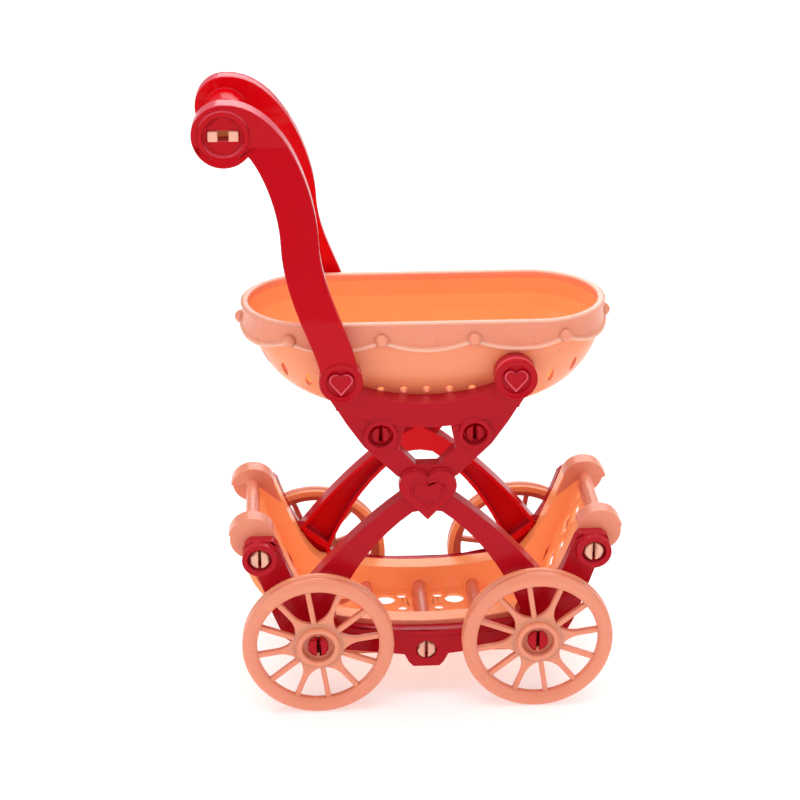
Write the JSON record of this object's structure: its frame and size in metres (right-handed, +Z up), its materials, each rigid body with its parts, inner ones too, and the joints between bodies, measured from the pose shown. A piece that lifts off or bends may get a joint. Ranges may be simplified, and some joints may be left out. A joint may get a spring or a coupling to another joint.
{
  "type": "doll stroller",
  "caption": "Toy doll stroller: oval basket with beaded swags on crossed side frames, lattice tray below, spoked wheels and a tilting arched handle.",
  "frame": {"origin": "on the floor, under the middle of the whole length with the handle at rest", "axes": "+X the way it is pushed, +Y to its left, +Z up"},
  "size_m": [0.1422, 0.0744, 0.2127],
  "materials": {
    "peach": "soft gloss, slightly translucent",
    "crimson": "soft gloss, solid colour"
  },
  "bodies": {
    "chassis": {"basket": "peach", "tray": "peach", "side_frame_left": "crimson", "side_frame_right": "crimson", "cross_brace_front": "crimson", "cross_brace_rear": "crimson", "heart_knob_left": "crimson", "heart_knob_right": "crimson"},
    "handle": {"handle_arm_left": "crimson", "handle_arm_right": "crimson", "handle_bar": "peach"},
    "front_left_wheel": {"wheel_front_left": "peach"},
    "front_right_wheel": {"wheel_front_right": "peach"},
    "rear_left_wheel": {"wheel_rear_left": "peach"},
    "rear_right_wheel": {"wheel_rear_right": "peach"}
  },
  "joints": [
    {"name": "handle_tilt", "type": "hinge", "parent": "chassis", "child": "handle", "pos_m": [-0.02509, 0, 0.1217], "axis": [0, 1, 0], "range_deg": [-118, 52]},
    {"name": "front_left_wheel_spin", "type": "hinge", "parent": "chassis", "child": "front_left_wheel", "pos_m": [0.04136, 0.034, 0.026], "axis": [0, 1, 0], "continuous": true},
    {"name": "front_right_wheel_spin", "type": "hinge", "parent": "chassis", "child": "front_right_wheel", "pos_m": [0.04136, -0.034, 0.026], "axis": [0, 1, 0], "continuous": true},
    {"name": "rear_left_wheel_spin", "type": "hinge", "parent": "chassis", "child": "rear_left_wheel", "pos_m": [-0.03414, 0.034, 0.026], "axis": [0, 1, 0], "continuous": true},
    {"name": "rear_right_wheel_spin", "type": "hinge", "parent": "chassis", "child": "rear_right_wheel", "pos_m": [-0.03414, -0.034, 0.026], "axis": [0, 1, 0], "continuous": true}
  ]
}
